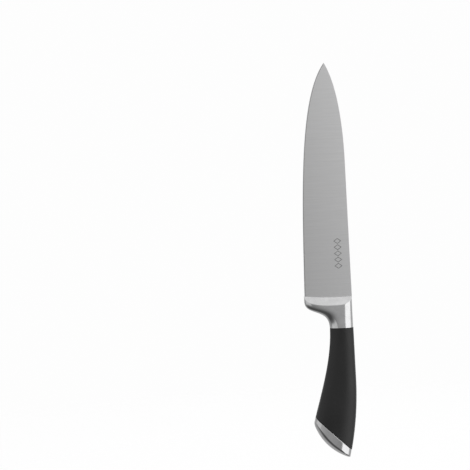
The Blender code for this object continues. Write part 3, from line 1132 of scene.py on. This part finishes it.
@dataclass
class Bolster:
    """The cast bolster: swept underside, chamfered front, slot for the blade."""

    lip: float = 0.0020
    front_dip: Pair = (-0.012, 0.0002)
    front_curve: float = 2.42
    crest_round: float = 0.00022
    most_round: float = 0.3
    support: float = 2.5
    rear_round: float = 0.00020
    rows: int = 76

    @cached_property
    def under(self) -> list[Vector]:
        """The underside's line, from the heel to the neck."""
        return FORM.under_line()

    @cached_property
    def crests(self) -> list[float]:
        """The height of the front's crest at each angle round the section."""
        return [self.crest_height(angle) for angle in angles()]

    def front(self, x: float) -> float:
        """Return the height of the front edge, which dips a little behind the spine."""
        return self.front_dip[1] + self.front_curve * (x - self.front_dip[0]) ** 2

    def belly(self, z: float) -> float:
        """Return the underside's x at a height."""
        return read_curve(self.under, z)

    def point(self, angle: float, z: float, inset: float = 0.0) -> Point:
        """Return a point of the bolster's side."""
        return FORM.skin(angle, z, self.belly(z), inset)

    def beyond_chamfer(self, angle: float, z: float) -> float:
        """Measure how far a point of the side lies beyond the chamfer's face.

        Args:
            angle: The point's place round the section.
            z: The point's height.

        Returns:
            The distance, which is below 0 inside the chamfer.
        """
        x, y, _ = self.point(angle, z)
        return abs(y) - FORM.grind_slope * x + z - self.front(x) - self.lip

    def crest_height(self, angle: float) -> float:
        """Find the height at which the chamfer, or the front edge, meets the side.

        Args:
            angle: The place round the section.

        Returns:
            The height.
        """
        reach = FORM.bolster_length
        crest = find_root(lambda z: self.beyond_chamfer(angle, z), reach, -reach)
        return min(crest, self.front(self.point(angle, crest)[0]))

    def front_rings(self) -> list[Ring]:
        """Make the rings over the front.

        Returns:
            The midline, the lip, the chamfer's rings and its crest's.
        """
        lines, lips, faces, supports, starts, tops, ends = ([] for _ in range(7))
        for angle, crest in zip(angles(), self.crests):
            peak = Vector(self.point(angle, crest))
            lip = Vector((peak.x, peak.y, self.front(peak.x)))
            if lip.z - peak.z > LEAST:
                lip.y = math.copysign(self.lip + FORM.grind_slope * peak.x, peak.y)
            length = (peak - lip).length
            reach = min(self.crest_round, self.most_round * length)
            down = (lip - peak).normalized() if length else Vector()
            below = Vector(self.point(angle, crest - reach))
            start = peak + down * reach
            lines.append((lip.x, 0.0, lip.z))
            lips.append(tuple(lip))
            faces.append(tuple((lip + peak) / 2))
            supports.append(tuple(peak + down * reach * self.support))
            starts.append(tuple(start))
            tops.append(tuple(peak.lerp((start + below) / 2, ROUND_FULLNESS)))
            ends.append(tuple(below))
        return [lines, lips, faces, supports, starts, tops, ends]

    def side_rings(self) -> list[Ring]:
        """Make the rings down the side.

        Returns:
            The rings, from the crest to the rounded rear rim.
        """
        rings = []
        last = -FORM.bolster_length + 2 * self.rear_round
        for row in range(1, self.rows + 1):
            ring = []
            for angle, crest in zip(angles(), self.crests):
                drop = self.front(self.point(angle, crest)[0]) - crest
                start = crest - 2 * min(self.crest_round, self.most_round * drop)
                ring.append(self.point(angle, mix(start, last, row / self.rows)))
            rings.append(ring)
        for above, inset in quarter_round(self.rear_round):
            z = -FORM.bolster_length + above
            rings.append([self.point(angle, z, inset) for angle in angles()])
        return rings

    def build(self) -> None:
        """Model the bolster, cut its slot and dress it."""
        piece = Bench.loft("cast_bolster", self.front_rings() + self.side_rings(), seamed=True)
        Bench.cut(piece, SlotTool().build())
        Bench.shade(piece)
        install(piece, "bolster", [PolishedSteel()])


@dataclass
class Joint:
    """The slanted joint between the grip and the cap."""

    gap: float = 0.00008
    search_past: float = 0.01

    def height(self, angle: float, side: float, inset: float = 0.0) -> float:
        """Find where a line of the handle's skin crosses one face of the joint.

        Args:
            angle: The place round the handle's section.
            side: How far above the joint's middle the face lies, across the joint.
            inset: How far below the skin the line runs.

        Returns:
            The height of the crossing.
        """
        lift = side / math.cos(FORM.joint_angle)

        def above(z: float) -> float:
            """Return how far the line's point at a height lies above the joint's face."""
            return z - FORM.joint_height(FORM.grip_point(angle, z, inset)[0]) - lift

        return find_root(above, -FORM.bolster_length, -FORM.butt_reach - self.search_past)

    def rounded_end(self, towards_butt: bool, radius: float) -> list[Ring]:
        """Make the rings of a rounded rim at the joint.

        Args:
            towards_butt: Whether the piece lies on the butt's side of the joint.
            radius: The rim's radius.

        Returns:
            The rings from the joint's face to the skin.
        """
        sign = -1 if towards_butt else 1
        rings = []
        for inset, along in quarter_round(radius):
            side = sign * (self.gap / 2 + along)
            rings.append([FORM.grip_point(a, self.height(a, side, inset), inset) for a in angles()])
        return rings


JOINT = Joint()


@dataclass
class Grip:
    """The soft sleeve, from the bolster to the slanted joint, bored for the core."""

    front_gap: float = 0.00005
    rim_round: float = 0.00030
    wall: float = 0.0018
    front_lead: float = 2.0
    joint_lead: float = 3.0
    bore_overlap: float = 0.002
    rows: int = 96
    bore_rows: int = 60

    def rings(self) -> list[Ring]:
        """Make the sleeve's outer rings.

        Returns:
            The rings, from the front rim to the joint's rim.
        """
        front = -FORM.bolster_length - self.front_gap
        rim = [skin_ring(front - along, inset) for inset, along in quarter_round(self.rim_round)]
        starts = [front - self.front_lead * self.rim_round] * AROUND
        ends = [JOINT.height(angle, self.joint_lead * self.rim_round) for angle in angles()]
        sides = skin_rings(starts, ends, self.rows)
        return rim + sides + JOINT.rounded_end(False, self.rim_round)[::-1]

    def bore(self) -> bpy.types.Object:
        """Model the cutter for the space that the core fills.

        Returns:
            The cutter.
        """
        start, end = -FORM.bolster_length + self.bore_overlap, -FORM.butt_reach
        rings = []
        for row in range(self.bore_rows + 1):
            z = mix(start, end, row / self.bore_rows)
            ring = skin_ring(min(z, -FORM.bolster_length), self.wall)
            rings.append([(x, y, z) for x, y, _ in ring])
        return Bench.loft("bore_tool", rings)

    def build(self) -> None:
        """Model the sleeve, bore it and dress it."""
        piece = Bench.loft("rubber_grip", self.rings())
        Bench.cut(piece, self.bore())
        Bench.shade(piece)
        install(piece, "grip_sleeve", [SoftRubber()])


@dataclass
class EndCap:
    """The hollow cast cap: sides on from the grip, a crease, and a domed butt."""

    rim_round: float = 0.00026
    crease_round: float = 0.00080
    wall: float = 0.0014
    side_rows: int = 16
    dome_rows: int = 18
    dome_run: float = 0.008
    opening: float = 0.004
    rim_lead: float = 2.5
    search_past: float = 0.002

    @property
    def centre(self) -> Pair:
        """The axis of the butt's wheel, as (x, z)."""
        return FORM.butt_rise, FORM.butt_radius - FORM.butt_reach

    def crease_height(self, angle: float, inset: float) -> float:
        """Find the height at which a line of the skin meets the dome.

        Args:
            angle: The line's place round the section.
            inset: How far below the skin the line runs, and the dome lies.

        Returns:
            The height.
        """
        x0, z0 = self.centre

        def beyond(z: float) -> float:
            """Return how far the line's point at a height lies outside the dome."""
            x, y, _ = FORM.grip_point(angle, z, inset)
            return math.hypot(x - x0, z - z0) - FORM.dome_reach(y, inset)

        return find_root(beyond, z0, -FORM.butt_reach - self.search_past)

    def dome_point(self, turn: float, y: float, inset: float) -> Point:
        """Find a point of the domed butt.

        Args:
            turn: The angle about the wheel's axis, from straight down.
            y: The point's place from the middle plane.
            inset: How far below the surface it lies.

        Returns:
            The point, about the form's own datum.
        """
        x0, z0 = self.centre
        reach = FORM.dome_reach(y, inset)
        return (x0 + reach * math.sin(turn), y, z0 - reach * math.cos(turn))

    def rings(self, inset: float, starts: list[float]) -> list[Ring]:
        """Make the rings down the sides, round the crease and over the dome.

        Args:
            inset: How far below the skin the rings lie.
            starts: The height at which each line of the skin starts.

        Returns:
            The rings, from the start to the middle of the dome.
        """
        x0, z0 = self.centre
        creases = [self.crease_height(angle, inset) for angle in angles()]
        peaks = [FORM.grip_point(angle, crease, inset) for angle, crease in zip(angles(), creases)]
        turns = [math.atan2(x - x0, z0 - z) for x, _, z in peaks]
        middle = (min(turns) + max(turns)) / 2
        soft = self.crease_round
        sides = skin_rings(starts, [crease + soft for crease in creases], self.side_rows, inset)
        first, second = soft / self.dome_run, 2 * soft / self.dome_run
        shares = [first, second]
        shares += [mix(second, 1.0, row / self.dome_rows) for row in range(1, self.dome_rows + 1)]
        dome = []
        for share in shares:
            ring = []
            for turn, (_, y, _) in zip(turns, peaks):
                ring.append(self.dome_point(mix(turn, middle, share), mix(y, 0.0, share), inset))
            dome.append(ring)
        crease = []
        for peak, above, below in zip(peaks, sides[-1], dome[0]):
            chord = (Vector(above) + Vector(below)) / 2
            crease.append(tuple(Vector(peak).lerp(chord, ROUND_FULLNESS)))
        return [*sides, crease, *dome]

    def build(self) -> None:
        """Model the cap, hollow it and dress it."""
        rim = JOINT.rounded_end(True, self.rim_round)
        starts = [JOINT.height(angle, -self.rim_lead * self.rim_round) for angle in angles()]
        piece = Bench.loft("cast_end_cap", rim + self.rings(0.0, starts))
        opened = [JOINT.height(angle, self.opening, self.wall) for angle in angles()]
        Bench.cut(piece, Bench.loft("cap_hollow_tool", self.rings(self.wall, opened)))
        Bench.shade(piece)
        install(piece, "end_cap", [PolishedSteel()])


@dataclass
class InnerPieces:
    """The core, the cap's plug, the rivets and the studs: hidden, with their own meshes."""

    core: Finish = MouldedPlastic("core_plastic_fine", (0.045, 0.045, 0.049), (0.075, 0.075, 0.080))
    plug: Finish = MouldedPlastic("plug_plastic_fine", (0.165, 0.165, 0.172), (0.235, 0.235, 0.245))
    rivet: Finish = drawn_steel("drawn_rivet", (3200.0, 60.0, 3200.0))
    stud: Finish = drawn_steel("drawn_stud", (3200.0, 3200.0, 60.0))

    def dress(self) -> None:
        """Give each node that keeps its own mesh its finish."""
        nodes = {
            ("core_left", "core_right"): self.core,
            ("cap_filler",): self.plug,
            ("tang_rivet_front", "tang_rivet_rear"): self.rivet,
            ("cap_stud_upper", "cap_stud_lower"): self.stud,
        }
        for names, finish in nodes.items():
            material = finish.material()
            for name in names:
                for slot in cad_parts[name].material_slots:
                    slot.material = material
                logger.info("%s: %s", name, finish.name)


# --- the studio --------------------------------------------------------------------------


@dataclass(frozen=True)
class SoftBox:
    """A lit field of the studio's sky, by azimuth and elevation in degrees.

    Azimuth 0 is in front of the knife, where the camera stands, and 90 is off its spine.  The
    soft widths say how far outside the field its light fades.
    """

    azimuth: Pair
    elevation: Pair
    level: float
    soft_azimuth: Pair
    soft_elevation: Pair = (12, 14)


@dataclass
class Studio:
    """Soft light from all round, a pale floor, and the camera."""

    boxes: tuple[SoftBox, ...] = (
        SoftBox((30, 82), (-50, 60), 1.38, (3, 9), (14, 14)),
        SoftBox((-88, -36), (-15, 60), 0.72, (10, 10)),
        SoftBox((135, 165), (-20, 60), 1.1, (8, 8), (14, 14)),
        SoftBox((-155, -128), (-18, 30), 0.40, (8, 8), (10, 14)),
        SoftBox((95, 106), (-60, 50), 0.62, (6, 12)),
    )
    front_sky: tuple[Pair, ...] = (
        (-90, 0.13), (-40, 0.08), (-20, 0.25), (-5, 0.46), (11, 0.67), (35, 0.82), (90, 0.98)
    )
    rear_sky: tuple[Pair, ...] = (
        (-90, 0.40), (-60, 0.46), (-20, 0.50), (0, 0.53), (30, 0.64), (90, 0.98)
    )
    rear_from: Pair = (95, 150)
    backdrop: float = 0.985
    floor_drop: float = 0.075
    floor_radius: float = 1.0
    floor_sides: int = 96
    fade_from: float = 0.35
    paper: Colour = (0.10, 0.10, 0.10)
    paper_roughness: float = 0.9
    paper_glow: float = 0.87
    camera_place: Point = (-0.0788, -0.948, 0.00265)
    camera_roll: float = math.radians(3)
    lens: float = 85.0
    nearest_seen: float = 0.01

    def camera(self) -> None:
        """Add the camera, level with the knife's middle and rolled a little."""
        data = bpy.data.cameras.new("camera")
        data.lens = self.lens
        data.dof.use_dof = False
        data.clip_start = self.nearest_seen
        camera = bpy.data.objects.new("camera", data)
        camera.location = self.camera_place
        camera.rotation_euler = (math.pi / 2, self.camera_roll, 0.0)
        bpy.context.collection.objects.link(camera)
        bpy.context.scene.camera = camera

    def floor(self) -> None:
        """Add a pale round floor that fades out into the backdrop."""
        low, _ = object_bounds()
        Bench.clear_selection()
        bpy.ops.mesh.primitive_circle_add(
            vertices=self.floor_sides, radius=self.floor_radius, fill_type="NGON",
            location=(0, 0, low[2] - self.floor_drop),
        )
        floor = bpy.context.object
        floor.name = "studio_floor"
        floor.visible_glossy = False
        bpy.ops.object.transform_apply(location=True, rotation=True, scale=True)
        sheet = NodeSheet("floor_paper")
        x, y, _ = sheet.axes()
        squares = sheet.math("ADD", sheet.math("MULTIPLY", x, x), sheet.math("MULTIPLY", y, y))
        distance = sheet.math("SQRT", squares)
        sheet.set(
            Base_Color=(*self.paper, 1.0),
            Roughness=self.paper_roughness,
            Emission_Color=(1.0, 1.0, 1.0, 1.0),
            Emission_Strength=self.paper_glow,
            Alpha=sheet.span(distance, (self.fade_from, self.floor_radius), (1.0, 0.0)),
        )
        floor.data.materials.append(sheet.material)
        floor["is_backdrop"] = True

    def world(self) -> None:
        """Light the scene from a sky of soft fields, and show the camera a plain backdrop."""
        world = bpy.data.worlds.new("studio")
        bpy.context.scene.world = world
        world.use_nodes = True
        sky = Sky(world.node_tree)
        to_rear = sky.span(sky.math("ABSOLUTE", sky.azimuth), self.rear_from, eased=True)
        level = sky.mixed(to_rear, sky.ramp(self.front_sky), sky.ramp(self.rear_sky))
        for box in self.boxes:
            level = sky.lit(box, level)
        sky.finish(level, self.backdrop)

    def build(self) -> None:
        """Set up the whole studio."""
        self.camera()
        self.floor()
        self.world()
        bpy.context.scene.view_settings.view_transform = "Standard"
        bpy.context.scene.view_settings.look = "None"


class Sky(Wiring):
    """The world's node tree, with the direction of sight as azimuth and elevation."""

    def __init__(self, tree: bpy.types.NodeTree) -> None:
        """Find the direction's azimuth and elevation.

        Args:
            tree: The world's node tree, which is emptied first.
        """
        super().__init__(tree)
        self.tree.nodes.clear()
        x, y, z = self.split(self.add("TexCoord").outputs["Generated"])
        self.azimuth = self.math("DEGREES", self.math("ARCTAN2", x, self.math("MULTIPLY", y, -1.0)))
        self.elevation = self.math("DEGREES", self.math("ARCSINE", z))

    def ramp(self, stops: Sequence[Pair]) -> Output:
        """Read a level that changes with the elevation.

        Args:
            stops: The elevations, from the lowest to the highest, and the level at each.

        Returns:
            The level.
        """
        low, high = stops[0][0], stops[-1][0]
        node = self.add("ValToRGB")
        self.feed(node.inputs["Fac"], self.span(self.elevation, (low, high)))
        elements = node.color_ramp.elements
        while len(elements) < len(stops):
            elements.new(0.5)
        for element, (place, level) in zip(elements, stops):
            element.position = (place - low) / (high - low)
            element.color = (level, level, level, 1.0)
        return node.outputs["Color"]

    def mixed(self, share: Output, first: Value, second: Value) -> Output:
        """Mix two levels.

        Args:
            share: How much of the second level there is.
            first: The one level.
            second: The other level.

        Returns:
            The mixed level.
        """
        kept = self.math("MULTIPLY", first, self.math("SUBTRACT", 1.0, share))
        return self.math("ADD", kept, self.math("MULTIPLY", second, share))

    def within(self, value: Output, limits: Pair, soft: Pair) -> Output:
        """Say how far a value lies within limits.

        Args:
            value: The value.
            limits: The limits.
            soft: How far outside each limit the answer falls to 0.

        Returns:
            1 within the limits, falling gently to 0 outside them.
        """
        entered = self.span(value, (limits[0] - soft[0], limits[0]), eased=True)
        left = self.span(value, (limits[1], limits[1] + soft[1]), eased=True)
        return self.math("MULTIPLY", entered, self.math("SUBTRACT", 1.0, left))

    def lit(self, box: SoftBox, level: Output) -> Output:
        """Lay a lit field over the sky.

        Args:
            box: The field.
            level: The sky's level without it.

        Returns:
            The sky's level with it.
        """
        share = self.math(
            "MULTIPLY",
            self.within(self.azimuth, box.azimuth, box.soft_azimuth),
            self.within(self.elevation, box.elevation, box.soft_elevation),
        )
        return self.mixed(share, level, box.level)

    def finish(self, level: Output, backdrop: float) -> None:
        """Light the scene with the sky, and show the camera the backdrop in its place.

        Args:
            level: The sky's level.
            backdrop: The backdrop's level.
        """
        camera_ray = self.add("LightPath").outputs["Is Camera Ray"]
        shader = self.add("Background")
        self.feed(shader.inputs["Color"], self.mixed(camera_ray, level, backdrop))
        self.feed(self.add("OutputWorld").inputs["Surface"], shader.outputs["Background"])


def main() -> None:
    """Build the looks in order and report each piece."""
    logging.basicConfig(level=logging.INFO, format="%(name)s %(message)s")
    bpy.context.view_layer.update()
    Blade().build()
    Bolster().build()
    Grip().build()
    EndCap().build()
    InnerPieces().dress()
    Studio().build()


if __name__ == "__main__":
    main()
